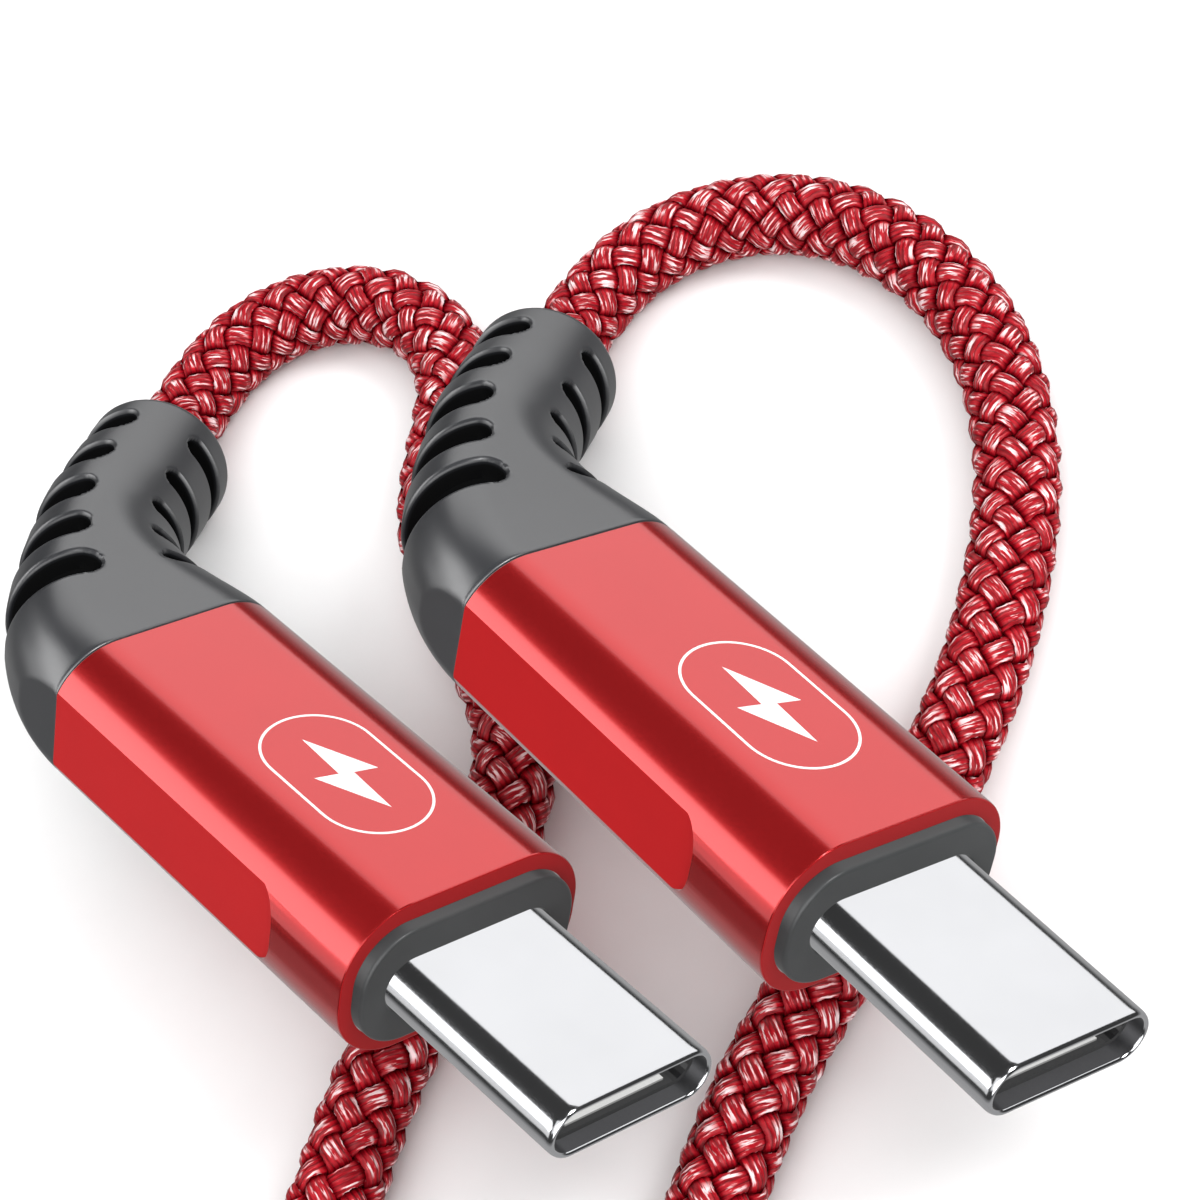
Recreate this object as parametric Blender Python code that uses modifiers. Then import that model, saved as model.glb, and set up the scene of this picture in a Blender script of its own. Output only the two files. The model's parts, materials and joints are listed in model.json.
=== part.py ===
"""A braided charging cable with two identical plugs, in metres, +Z up.

Each plug has a flattened metal tip, a dark collar, an aluminium sleeve and a rubber boot that turns the
cord sideways. The plugs lie rolled to one side: the nose rests on the plug's own cord and the boot's end
touches the surface. The cord runs along the surface, under both plugs, and its middle is a tied coil.
A plug's own axes are X to the nose, Y to the side the boot turns to, and Z out of its upper face.
"""

import bpy
import bmesh
import numpy as np
from math import cos, pi, radians, sin
from mathutils import Matrix, Vector

# Where the two plugs lie: the point is the middle of the collar's front face.
PLUG_A_AT = (0.0208, 0.0044, 0.00903)
PLUG_B_STEP = (-0.0110, -0.0132, 0.0)  # from plug A to plug B
PLUG_B_YAW = 4.0
PLUG_ROLL = 33.0  # degrees, about the plug's own X axis

# Aluminium sleeve
SLEEVE_WIDTH = 0.0120
SLEEVE_HEIGHT = 0.0072
SLEEVE_CORNER = 0.0032
SLEEVE_LENGTH = 0.0206
SLEEVE_WALL = 0.0006
SLEEVE_BORE_HEIGHT = 0.0056
SLEEVE_BORE_CORNER = 0.00245
COLLAR_PROUD = 0.0006
SLEEVE_FRONT = -COLLAR_PROUD
SLEEVE_BACK = SLEEVE_FRONT - SLEEVE_LENGTH
FACET_DEPTH = 0.00035  # flat along each side of the sleeve
FACET_END = -0.0052  # how near the nose the flat runs
FACET_HEIGHT = 0.0034
FACET_CORNER = 0.0012
FACET_RUN = 0.0300  # long enough to leave by the sleeve's back face
FACET_CUTTER = 0.0020

# Collar
COLLAR_WIDTH = 0.0107
COLLAR_HEIGHT = 0.0055
COLLAR_CORNER = 0.0024
COLLAR_BACK = -0.0036
COLLAR_HOLE_CORNER = 0.0013
TIP_CLEARANCE = 0.0001

# Metal tip
TIP_WIDTH = 0.00825
TIP_HEIGHT = 0.00250
TIP_OUT = 0.0100  # how far it stands out of the collar
TIP_ROOT = 0.0085  # how far it runs back inside
TIP_WALL = 0.00025
TIP_BORE_CORNER = 0.0010

# Insert inside the tip, with a mouth for the other side's tongue
INSERT_WIDTH = 0.0076
INSERT_HEIGHT = 0.0019
INSERT_FRONT = 0.0092
MOUTH_WIDTH = 0.0072
MOUTH_HEIGHT = 0.0015
MOUTH_CORNER = 0.00074
MOUTH_BACK = 0.0024
MOUTH_FRONT = 0.0120

# Springs inside the tip: contact combs, latches and earth springs
PIVOT_X = 0.0027  # where combs and latches bend from
COMB_HEIGHT = 0.00042
COMB_FINGERS = 12
COMB_PITCH = 0.0005
COMB_FINGER = 0.00022
COMB_ROOT = 0.0006
COMB_LENGTH = 0.0050
COMB_THICKNESS = 0.00012
EARTH_SPRING = (0.0011, 0.0050, 0.0001)
EARTH_SPRING_X = 0.00845
EARTH_SPRING_HEIGHT = 0.00060
LATCH_SIDE = 0.00338
LATCH_THICKNESS = 0.0003
LATCH_ARM = (
    (0.0, 0.0), (0.0050, 0.0), (0.0050, -0.00015), (0.0044, -0.00032), (0.0039, -0.00018), (0.0, -0.00018),
)

# Boot
BOOT_STRAIGHT = 0.0002
BOOT_BEND_RADIUS = 0.0157
BOOT_BEND = 53.4
BOOT_TAIL = 0.0054
BOOT_END_RADIUS = 0.0035
BOOT_TAPER = 0.59  # share of its length over which it narrows
BOOT_BORE = 0.00205
BOOT_ROUNDING = 0.92  # corner radius over half width where the boot is round
BOOT_SPIGOT = 0.0028
BOOT_STATIONS = 13
SPIGOT_WIDTH = 0.0106
SPIGOT_HEIGHT = 0.0054
SPIGOT_CORNER = 0.0024
BOOT_MOUTH_WIDTH = 0.0086  # the hole for the wires, at the sleeve's end
BOOT_MOUTH_HEIGHT = 0.0040
BOOT_MOUTH_CORNER = 0.0018
BOOT_MOUTH_SHARE = 0.3
BOOT_SLOTS = 5
BOOT_FIRST_SLOT = 0.0055
BOOT_SLOT_PITCH = 0.00313
BOOT_SLOT_DEPTH = {-1: 0.0009, 1: 0.0007}  # outside and inside of the bend
BOOT_SLOT_CUTTER = (0.0010, 0.0030, 0.0090)

# Circuit card, its chips and the clamshell round them
CARD_SIZE = (0.0086, 0.0080, 0.0008)
CARD_X = -0.0130
CHIP_SIZE = (0.0024, 0.0024, 0.0007)
CHIP_AT = (-0.0122, 0.0008)
RESISTOR_SIZE = (0.0010, 0.0005, 0.00035)
RESISTOR_X = -0.0122
FRAME_WIDTH = 0.0106
FRAME_HEIGHT = 0.0054
FRAME_CORNER = 0.0023
FRAME_CAVITY = 0.0018
FRAME_CAVITY_SIDE = 0.0046
FRAME_BACK = -0.0178
FRAME_FRONT = -0.0040

# Wires: name, colour, side of the card, upper or lower face, radius, place round the jacket
WIRES = (
    ("power", "red", 0.0030, 1, 0.00040, 25),
    ("ground", "black", -0.0030, 1, 0.00040, 155),
    ("data_plus", "green", 0.0, 1, 0.00028, 90),
    ("data_minus", "white", 0.0016, -1, 0.00028, 310),
    ("config", "blue", -0.0016, -1, 0.00028, 230),
)
WIRE_START_X = -0.0152
WIRE_BEND_X = -0.0180
WIRE_NEAR_X = -0.0208
WIRE_RISE = 0.0010
WIRE_RING = 0.00090
WIRE_END = 0.0016  # distance along the boot
WIRE_STEP = 0.0015
JACKET_START = 0.0020
JACKET_POINTS = 10
FERRULE_AT = 0.0085
FERRULE_OUTER = 0.00198
FERRULE_INNER = 0.00172
FERRULE_LENGTH = 0.0022

# Cord and coil
CORD_DIAMETER = 0.0038
CORD_RADIUS = CORD_DIAMETER / 2
JACKET_RADIUS = 0.0015
COIL_CENTRE = (0.0235, -0.0457)  # from PLUG_A_AT
COIL_MIDDLE = 0.0228
COIL_PITCH = 0.0039
COIL_HEIGHT = COIL_PITCH + CORD_DIAMETER
TIE_ANGLE = -46.0
TIE_WIDTH = 0.0060
TIE_THICKNESS = 0.0006
TIE_ROOM = 0.0004  # slack at each side of the coil's section
TIE_SLACK = 0.0002
TIE_CORNER = 0.0014
TIE_OUTER_CORNER = 0.0020
TIE_GROOVE_LENGTH = 0.0200
COIL_CORNER = 0.0012
COIL_STEPS = 40
COIL_CLEAR = 0.0001
MERGE = 0.00001
COIL_INNER = COIL_MIDDLE - COIL_PITCH - CORD_RADIUS - COIL_CLEAR
COIL_OUTER = COIL_MIDDLE + COIL_PITCH + CORD_RADIUS + COIL_CLEAR
GAP = 0.0003
FINE_GAP = 0.00005

# The cord's route on the surface, in millimetres from PLUG_A_AT in plan and from the surface in height.
ROUTE_A = (
    (-37.48, 9.25, 3.03), (-38.4, 10.4, 2.40), (-39.6, 12.8, 1.9), (-40.1, 16.2, 1.9), (-39.0, 19.9, 1.9),
    (-36.2, 22.9, 1.9), (-32.0, 24.6, 1.9), (-27.2, 24.8, 1.9), (-22.6, 23.6, 1.9), (-18.4, 21.3, 1.9),
    (-14.8, 18.2, 1.9), (-11.7, 14.5, 1.9), (-9.0, 10.3, 1.9), (-6.9, 5.9, 1.9), (-5.2, 1.5, 1.9),
    (-3.7, -3.0, 1.9), (-2.0, -7.5, 1.9), (0.5, -12.1, 1.9), (3.9, -16.4, 1.9), (8.5, -18.5, 1.9),
)
ROUTE_B = (
    (-49.04, -6.59, 3.03), (-50.2, -5.4, 2.40), (-51.9, -2.6, 1.9), (-52.5, 0.6, 1.9), (-51.4, 3.9, 1.9),
    (-48.7, 6.3, 1.9), (-45.2, 7.1, 1.9), (-41.8, 6.1, 1.9), (-39.1, 3.7, 1.9), (-36.5, 1.1, 1.9),
    (-33.3, -0.9, 1.9), (-29.8, -2.1, 1.9), (-26.2, -3.0, 1.9), (-22.9, -4.6, 1.9), (-20.4, -7.1, 1.9),
    (-18.5, -10.2, 1.9), (-16.9, -13.6, 1.9), (-15.1, -17.2, 1.9), (-13.0, -20.8, 1.9), (-10.6, -24.3, 1.9),
    (-8.9, -28.2, 1.95), (-8.1, -32.4, 2.4), (-7.8, -36.8, 3.3), (-7.2, -40.8, 4.2),
)
CORD_STEP = 0.0070  # spacing of the tube's points

RED = (0.62, 0.03, 0.035)
GREY = (0.085, 0.09, 0.095)
STEEL = (0.78, 0.79, 0.80)


def clear_scene():
    for item in list(bpy.data.objects):
        bpy.data.objects.remove(item, do_unlink=True)


def new_collection(name):
    group = bpy.data.collections.new(name)
    bpy.context.scene.collection.children.link(group)
    return group


def new_material(name, colour, roughness, metallic=0.0):
    made = bpy.data.materials.new(name)
    made.use_nodes = True
    shader = made.node_tree.nodes["Principled BSDF"]
    shader.inputs["Base Color"].default_value = (*colour, 1.0)
    shader.inputs["Roughness"].default_value = roughness
    shader.inputs["Metallic"].default_value = metallic
    return made


def add_object(name, data, group, parent=None, matrix=None):
    made = bpy.data.objects.new(name, data)
    group.objects.link(made)
    made.parent = parent
    if matrix is not None:
        made.matrix_basis = matrix
    return made


def rounded_outline(width, height, corner, steps=5):
    """Points round a rectangle with rounded corners, anticlockwise from the right."""
    corner = min(corner, width / 2, height / 2)
    points = []
    for quarter in range(4):
        side_x = 1 if quarter in (0, 3) else -1
        side_y = 1 if quarter in (0, 1) else -1
        for step in range(steps + 1):
            angle = (quarter + step / steps) * pi / 2
            x = side_x * (width / 2 - corner) + corner * cos(angle)
            y = side_y * (height / 2 - corner) + corner * sin(angle)
            if not points or (Vector((x, y)) - Vector(points[-1])).length > 1e-7:
                points.append((x, y))
    if (Vector(points[0]) - Vector(points[-1])).length < 1e-7:
        points.pop()
    return points


def flat_curve(name, outlines, thickness):
    """A filled 2D curve, thickness deep, with every outline after the first cut out of it."""
    curve = bpy.data.curves.new(name, "CURVE")
    curve.dimensions = "2D"
    curve.fill_mode = "BOTH"
    curve.extrude = thickness / 2
    for outline in outlines:
        spline = curve.splines.new("POLY")
        spline.points.add(len(outline) - 1)
        for point, (x, y) in zip(spline.points, outline):
            point.co = (x, y, 0.0, 1.0)
        spline.use_cyclic_u = True
    return curve


ALONG_X = Matrix.Rotation(radians(90), 4, "Z") @ Matrix.Rotation(radians(90), 4, "X")


def prism_along_x(name, outlines, back, front, group, parent):
    """Outlines in the plug's Y and Z, drawn out along its X from back to front."""
    curve = flat_curve(name, outlines, front - back)
    place = Matrix.Translation(((front + back) / 2, 0.0, 0.0)) @ ALONG_X
    return add_object(name, curve, group, parent, place)


def tube_curve(name, points, radius, group, parent=None, resolution=2):
    curve = bpy.data.curves.new(name, "CURVE")
    curve.dimensions = "3D"
    curve.bevel_depth = radius
    curve.bevel_resolution = resolution
    curve.use_fill_caps = True
    spline = curve.splines.new("POLY")
    spline.points.add(len(points) - 1)
    for point, place in zip(spline.points, points):
        point.co = (*place, 1.0)
    return add_object(name, curve, group, parent)


def to_mesh(item):
    """Turn a curve object into a closed mesh object in the same place."""
    bpy.context.view_layer.update()
    graph = bpy.context.evaluated_depsgraph_get()
    mesh = bpy.data.meshes.new_from_object(item.evaluated_get(graph))
    shape = bmesh.new()
    shape.from_mesh(mesh)
    bmesh.ops.remove_doubles(shape, verts=shape.verts, dist=1e-6)
    shape.to_mesh(mesh)
    shape.free()
    name = item.name
    solid = bpy.data.objects.new(name + "_mesh", mesh)
    item.users_collection[0].objects.link(solid)
    solid.parent = item.parent
    solid.matrix_basis = item.matrix_basis
    bpy.data.objects.remove(item, do_unlink=True)
    solid.name = name
    return solid


def box_mesh(name, size, group, parent=None, matrix=None):
    shape = bmesh.new()
    bmesh.ops.create_cube(shape, size=1.0)
    bmesh.ops.scale(shape, vec=size, verts=shape.verts)
    mesh = bpy.data.meshes.new(name)
    shape.to_mesh(mesh)
    shape.free()
    return add_object(name, mesh, group, parent, matrix)


def cut(item, cutter):
    cutter.hide_render = True
    cutter.display_type = "WIRE"
    change = item.modifiers.new("cut", "BOOLEAN")
    change.operation = "DIFFERENCE"
    change.object = cutter
    change.solver = "EXACT"


def smooth_route(points, step):
    """Evenly spaced points on the natural cubic spline through the given points."""
    knots = np.array(points, dtype=float)
    along = np.concatenate(([0.0], np.cumsum(np.linalg.norm(np.diff(knots, axis=0), axis=1))))
    gaps = np.diff(along)
    count = len(knots)
    system = np.eye(count)
    right = np.zeros((count, 3))
    for i in range(1, count - 1):
        system[i, i - 1 : i + 2] = gaps[i - 1], 2 * (gaps[i - 1] + gaps[i]), gaps[i]
        rise = (knots[i + 1] - knots[i]) / gaps[i] - (knots[i] - knots[i - 1]) / gaps[i - 1]
        right[i] = 6 * rise
    bends = np.linalg.solve(system, right)
    fine = []
    for i, gap in enumerate(gaps):
        for u in np.linspace(0.0, 1.0, 24, endpoint=False):
            a, b = 1 - u, u
            curve = ((a**3 - a) * bends[i] + (b**3 - b) * bends[i + 1]) * gap**2 / 6
            fine.append(a * knots[i] + b * knots[i + 1] + curve)
    fine = np.array(fine + [knots[-1]])
    run = np.concatenate(([0.0], np.cumsum(np.linalg.norm(np.diff(fine, axis=0), axis=1))))
    marks = np.linspace(0.0, run[-1], max(2, round(run[-1] / step) + 1))
    return np.column_stack([np.interp(marks, run, fine[:, axis]) for axis in range(3)])


def boot_line(distance):
    """Place and turn (radians) of the boot's centre line, distance from the sleeve's back face."""
    bend = min(max(distance - BOOT_STRAIGHT, 0.0) / BOOT_BEND_RADIUS, radians(BOOT_BEND))
    before = min(distance, BOOT_STRAIGHT)
    after = max(distance - BOOT_STRAIGHT - BOOT_BEND_RADIUS * radians(BOOT_BEND), 0.0)
    x = SLEEVE_BACK - GAP / 2 - before - BOOT_BEND_RADIUS * sin(bend) - after * cos(bend)
    y = BOOT_BEND_RADIUS * (1 - cos(bend)) + after * sin(bend)
    return Vector((x, y, 0.0)), bend


BOOT_LENGTH = BOOT_STRAIGHT + BOOT_BEND_RADIUS * radians(BOOT_BEND) + BOOT_TAIL


def ease(amount):
    amount = min(max(amount, 0.0), 1.0)
    return amount * amount * (3 - 2 * amount)


def boot_section(distance):
    """Width, height and corner radius of the boot's outside."""
    share = distance / BOOT_LENGTH
    taper = ease(share / BOOT_TAPER)
    width = SLEEVE_WIDTH + (2 * BOOT_END_RADIUS - SLEEVE_WIDTH) * taper
    height = SLEEVE_HEIGHT + (2 * BOOT_END_RADIUS - SLEEVE_HEIGHT) * taper
    round_end = BOOT_ROUNDING * BOOT_END_RADIUS
    corner = SLEEVE_CORNER + (round_end - SLEEVE_CORNER) * ease(share / 0.4)
    return width, height, corner


def ring_points(centre, turn, outline):
    """An outline of (side, up) points set square across the boot's line."""
    side = Vector((sin(turn), cos(turn), 0.0))
    return [centre + side * y + Vector((0.0, 0.0, z)) for y, z in outline]


def make_boot(name, group, parent):
    """A lofted rubber boot: a spigot inside the sleeve, then a taper that turns sideways, with a bore."""
    front = Vector((SLEEVE_BACK + BOOT_SPIGOT, 0.0, 0.0))
    step = Vector((SLEEVE_BACK - GAP / 2, 0.0, 0.0))
    spigot = rounded_outline(SPIGOT_WIDTH, SPIGOT_HEIGHT, SPIGOT_CORNER)
    opening = rounded_outline(BOOT_MOUTH_WIDTH, BOOT_MOUTH_HEIGHT, BOOT_MOUTH_CORNER)
    rings = [ring_points(front, 0.0, spigot), ring_points(step, 0.0, spigot)]
    stations = BOOT_STATIONS
    for index in range(stations):
        distance = BOOT_LENGTH * index / (stations - 1)
        centre, turn = boot_line(distance)
        rings.append(ring_points(centre, turn, rounded_outline(*boot_section(distance))))
    for index in reversed(range(stations)):
        distance = BOOT_LENGTH * index / (stations - 1)
        centre, turn = boot_line(distance)
        narrow = ease(distance / BOOT_LENGTH / BOOT_MOUTH_SHARE)
        width = BOOT_MOUTH_WIDTH + (2 * BOOT_BORE - BOOT_MOUTH_WIDTH) * narrow
        height = BOOT_MOUTH_HEIGHT + (2 * BOOT_BORE - BOOT_MOUTH_HEIGHT) * narrow
        corner = BOOT_MOUTH_CORNER + (BOOT_ROUNDING * BOOT_BORE - BOOT_MOUTH_CORNER) * narrow
        rings.append(ring_points(centre, turn, rounded_outline(width, height, corner)))
    rings.append(ring_points(front, 0.0, opening))
    shape = bmesh.new()
    loops = [[shape.verts.new(point) for point in ring] for ring in rings]
    count = len(loops[0])
    for first, second in zip(loops, loops[1:] + loops[:1]):
        for i in range(count):
            j = (i + 1) % count
            shape.faces.new((first[i], first[j], second[j], second[i]))
    bmesh.ops.recalc_face_normals(shape, faces=shape.faces)
    mesh = bpy.data.meshes.new(name)
    shape.to_mesh(mesh)
    shape.free()
    return add_object(name, mesh, group, parent)


def comb_outline(fingers, pitch, width, root, length):
    """A comb in plan: a root bar with straight fingers along +X."""
    half = (fingers - 1) * pitch / 2 + width / 2
    points = [(0.0, half), (0.0, -half)]
    for index in range(fingers):
        middle = (index - (fingers - 1) / 2) * pitch
        low, high = middle - width / 2, middle + width / 2
        if index > 0:
            points.append((root, low))
        points += [(length, low), (length, high)]
        if index < fingers - 1:
            points.append((root, high))
    return points


def make_plug(letter, empty, parts, cutters, paint):
    """All the pieces of one plug, on its own empty."""

    def give(item, key):
        item.data.materials.clear()
        item.data.materials.append(paint[key])
        return item

    # Outside: sleeve, collar, tip and boot.
    outer = rounded_outline(SLEEVE_WIDTH, SLEEVE_HEIGHT, SLEEVE_CORNER)
    bore = rounded_outline(SLEEVE_WIDTH - 2 * SLEEVE_WALL, SLEEVE_BORE_HEIGHT, SLEEVE_BORE_CORNER)
    sleeve = prism_along_x(f"sleeve_{letter}", [outer, bore], SLEEVE_BACK, SLEEVE_FRONT, parts, empty)
    sleeve = give(to_mesh(sleeve), "red")
    for side in (-1, 1):
        flat = rounded_outline(FACET_RUN, FACET_HEIGHT, FACET_CORNER, 3)
        curve = flat_curve(f"flat_{letter}_{side}", [flat], FACET_CUTTER)
        y = side * (SLEEVE_WIDTH / 2 - FACET_DEPTH + FACET_CUTTER / 2)
        place = Matrix.Translation((FACET_END - FACET_RUN / 2, y, 0.0)) @ Matrix.Rotation(radians(90), 4, "X")
        cutter = add_object(f"flat_{letter}_{side}", curve, cutters, empty, place)
        cut(sleeve, to_mesh(cutter))

    collar_outline = rounded_outline(COLLAR_WIDTH, COLLAR_HEIGHT, COLLAR_CORNER)
    collar_hole = rounded_outline(TIP_WIDTH + TIP_CLEARANCE, TIP_HEIGHT + TIP_CLEARANCE, COLLAR_HOLE_CORNER)
    collar = prism_along_x(f"collar_{letter}", [collar_outline, collar_hole], COLLAR_BACK, 0.0, parts, empty)
    give(collar, "grey")

    tip_outline = rounded_outline(TIP_WIDTH, TIP_HEIGHT, TIP_HEIGHT / 2)
    tip_hole = rounded_outline(TIP_WIDTH - 2 * TIP_WALL, TIP_HEIGHT - 2 * TIP_WALL, TIP_BORE_CORNER)
    tip = prism_along_x(f"tip_{letter}", [tip_outline, tip_hole], -TIP_ROOT, TIP_OUT, parts, empty)
    give(tip, "steel")

    boot = give(make_boot(f"boot_{letter}", parts, empty), "grey")
    for index in range(BOOT_SLOTS):
        distance = BOOT_FIRST_SLOT + BOOT_SLOT_PITCH * index
        centre, turn = boot_line(distance)
        width = boot_section(distance)[0]
        for side, deep in BOOT_SLOT_DEPTH.items():
            reach = width / 2 - deep + BOOT_SLOT_CUTTER[1] / 2
            out = Vector((sin(turn), cos(turn), 0.0)) * side * reach
            place = Matrix.Translation(centre + out) @ Matrix.Rotation(-turn, 4, "Z")
            cut(boot, box_mesh(f"slot_{letter}_{index}_{side}", BOOT_SLOT_CUTTER, cutters, empty, place))

    # Inside the tip: insert, contact combs, latches and earth springs.
    insert_outline = rounded_outline(INSERT_WIDTH, INSERT_HEIGHT, INSERT_HEIGHT / 2)
    insert = prism_along_x(f"insert_{letter}", [insert_outline], -TIP_ROOT, INSERT_FRONT, parts, empty)
    insert = give(to_mesh(insert), "black")
    slot_outline = rounded_outline(MOUTH_WIDTH, MOUTH_HEIGHT, MOUTH_CORNER)
    slot = prism_along_x(f"insert_slot_{letter}", [slot_outline], MOUTH_BACK, MOUTH_FRONT, cutters, empty)
    cut(insert, to_mesh(slot))

    for side, word in ((1, "upper"), (-1, "lower")):
        pivot = Vector((PIVOT_X, 0.0, side * COMB_HEIGHT))
        fingers = comb_outline(COMB_FINGERS, COMB_PITCH, COMB_FINGER, COMB_ROOT, COMB_LENGTH)
        comb = flat_curve(f"contacts_{word}_{letter}", [fingers], COMB_THICKNESS)
        give(add_object(comb.name, comb, parts, empty, Matrix.Translation(pivot)), "gold")
        spring = box_mesh(f"earth_spring_{word}_{letter}", EARTH_SPRING, parts, empty)
        spring.location = (EARTH_SPRING_X, 0.0, side * EARTH_SPRING_HEIGHT)
        give(spring, "steel")
    for side, word in ((1, "right"), (-1, "left")):
        arm = [(x, side * y) for x, y in LATCH_ARM]
        latch = flat_curve(f"latch_{word}_{letter}", [arm], LATCH_THICKNESS)
        place = Matrix.Translation((PIVOT_X, side * LATCH_SIDE, 0.0))
        give(add_object(latch.name, latch, parts, empty, place), "steel")

    # Inside the sleeve: circuit card, its chips, the clamshell round them, and the cable's end.
    card = box_mesh(f"circuit_card_{letter}", CARD_SIZE, parts, empty)
    card.location = (CARD_X, 0.0, 0.0)
    give(card, "green")
    chip = box_mesh(f"marker_chip_{letter}", CHIP_SIZE, parts, empty)
    chip.location = (*CHIP_AT, CARD_SIZE[2] / 2 + FINE_GAP + CHIP_SIZE[2] / 2)
    give(chip, "black")
    resistor = box_mesh(f"resistor_{letter}", RESISTOR_SIZE, parts, empty)
    resistor.location = (RESISTOR_X, 0.0, -CARD_SIZE[2] / 2 - FINE_GAP - RESISTOR_SIZE[2] / 2)
    give(resistor, "black")

    for side, word in ((1, "upper"), (-1, "lower")):
        arch = [(y, z) for y, z in rounded_outline(FRAME_WIDTH, FRAME_HEIGHT, FRAME_CORNER) if z > 0]
        half_width, inside, cavity = FRAME_WIDTH / 2, FRAME_CAVITY_SIDE, FRAME_CAVITY
        outline = [(half_width, FINE_GAP)] + arch + [(-half_width, FINE_GAP), (-inside, FINE_GAP)]
        outline += [(-inside, cavity), (inside, cavity), (inside, FINE_GAP)]
        outline = [(y, side * z) for y, z in outline]
        half = prism_along_x(f"inner_frame_{word}_{letter}", [outline], FRAME_BACK, FRAME_FRONT, parts, empty)
        give(half, "white")

    for word, colour, y, side, radius, angle in WIRES:
        lift = side * (CARD_SIZE[2] / 2 + radius + FINE_GAP)
        inner = (WIRE_RING * cos(radians(angle)), WIRE_RING * sin(radians(angle)))
        start = (WIRE_START_X, y, lift)
        bend = (WIRE_BEND_X, y * 0.85, side * WIRE_RISE)
        ease_in = (WIRE_NEAR_X, 0.35 * y + 0.75 * inner[0], 0.5 * side * WIRE_RISE + 0.5 * inner[1])
        end_place, end_turn = boot_line(WIRE_END)
        end = end_place + Vector((sin(end_turn), cos(end_turn), 0.0)) * inner[0] + Vector((0, 0, inner[1]))
        path = smooth_route([start, bend, ease_in, tuple(end)], WIRE_STEP)
        give(tube_curve(f"wire_{word}_{letter}", path, radius, parts, empty, 1), colour)

    jacket_run = np.linspace(JACKET_START, BOOT_LENGTH - GAP, JACKET_POINTS)
    jacket_line = [boot_line(distance)[0] for distance in jacket_run]
    give(tube_curve(f"jacket_{letter}", jacket_line, JACKET_RADIUS, parts, empty, 2), "black")
    ferrule_place, ferrule_turn = boot_line(FERRULE_AT)
    rims = [circle_outline(FERRULE_OUTER), circle_outline(FERRULE_INNER)]
    ferrule = flat_curve(f"ferrule_{letter}", rims, FERRULE_LENGTH)
    place = Matrix.Translation(ferrule_place) @ Matrix.Rotation(-ferrule_turn, 4, "Z") @ ALONG_X
    give(add_object(ferrule.name, ferrule, parts, empty, place), "steel")


def circle_outline(radius, steps=20):
    return [(radius * cos(2 * pi * i / steps), radius * sin(2 * pi * i / steps)) for i in range(steps)]


def make_coil(parts, cutters, paint):
    """The outer shape of the wound cord, and the strap that holds it."""
    centre = Vector((PLUG_A_AT[0] + COIL_CENTRE[0], PLUG_A_AT[1] + COIL_CENTRE[1], 0.0))
    section = rounded_outline(COIL_OUTER - COIL_INNER, COIL_HEIGHT, COIL_CORNER, 2)
    mesh = bpy.data.meshes.new("cord_coil")
    middle = (COIL_OUTER + COIL_INNER) / 2
    verts = [(middle + x, 0.0, COIL_HEIGHT / 2 + z) for x, z in reversed(section)]
    edges = [(i, (i + 1) % len(verts)) for i in range(len(verts))]
    mesh.from_pydata(verts, edges, [])
    coil = add_object("cord_coil", mesh, parts, None, Matrix.Translation(centre))
    turn = coil.modifiers.new("turn", "SCREW")
    turn.steps = COIL_STEPS
    turn.render_steps = COIL_STEPS
    turn.use_merge_vertices = True
    turn.merge_threshold = MERGE
    mesh.materials.append(paint["cord"])

    out = Vector((cos(radians(TIE_ANGLE)), sin(radians(TIE_ANGLE)), 0.0))
    along = Vector((-out.y, out.x, 0.0))
    turned = Matrix((
        (out.x, 0.0, along.x, 0.0),
        (out.y, 0.0, along.y, 0.0),
        (0.0, 1.0, 0.0, 0.0),
        (0.0, 0.0, 0.0, 1.0),
    ))
    groove_top = TIE_THICKNESS + GAP
    size = (TIE_GROOVE_LENGTH, 2 * groove_top, TIE_WIDTH + 2 * GAP)
    place = Matrix.Translation(centre + out * middle) @ turned
    cut(coil, box_mesh("tie_groove", size, cutters, None, place))

    inner_wide = COIL_OUTER - COIL_INNER + 2 * GAP + 2 * TIE_ROOM
    inner_low = TIE_THICKNESS
    inner_high = COIL_HEIGHT + GAP + TIE_SLACK
    inside = rounded_outline(inner_wide, inner_high - inner_low, TIE_CORNER, 3)
    outside = rounded_outline(
        inner_wide + 2 * TIE_THICKNESS, inner_high - inner_low + 2 * TIE_THICKNESS, TIE_OUTER_CORNER, 3
    )
    strap = flat_curve("coil_tie", [outside, inside], TIE_WIDTH)
    strap.materials.append(paint["black"])
    lift = Vector((0.0, 0.0, (inner_high + inner_low) / 2))
    add_object("coil_tie", strap, parts, None, Matrix.Translation(centre + out * middle + lift) @ turned)


def make_cords(parts, paint):
    for name, route in (("cord_a", ROUTE_A), ("cord_b", ROUTE_B)):
        points = [(PLUG_A_AT[0] + x / 1000, PLUG_A_AT[1] + y / 1000, z / 1000) for x, y, z in route]
        line = smooth_route(points, CORD_STEP)
        cord = tube_curve(name, line, CORD_RADIUS, parts)
        cord.data.materials.append(paint["cord"])


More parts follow.
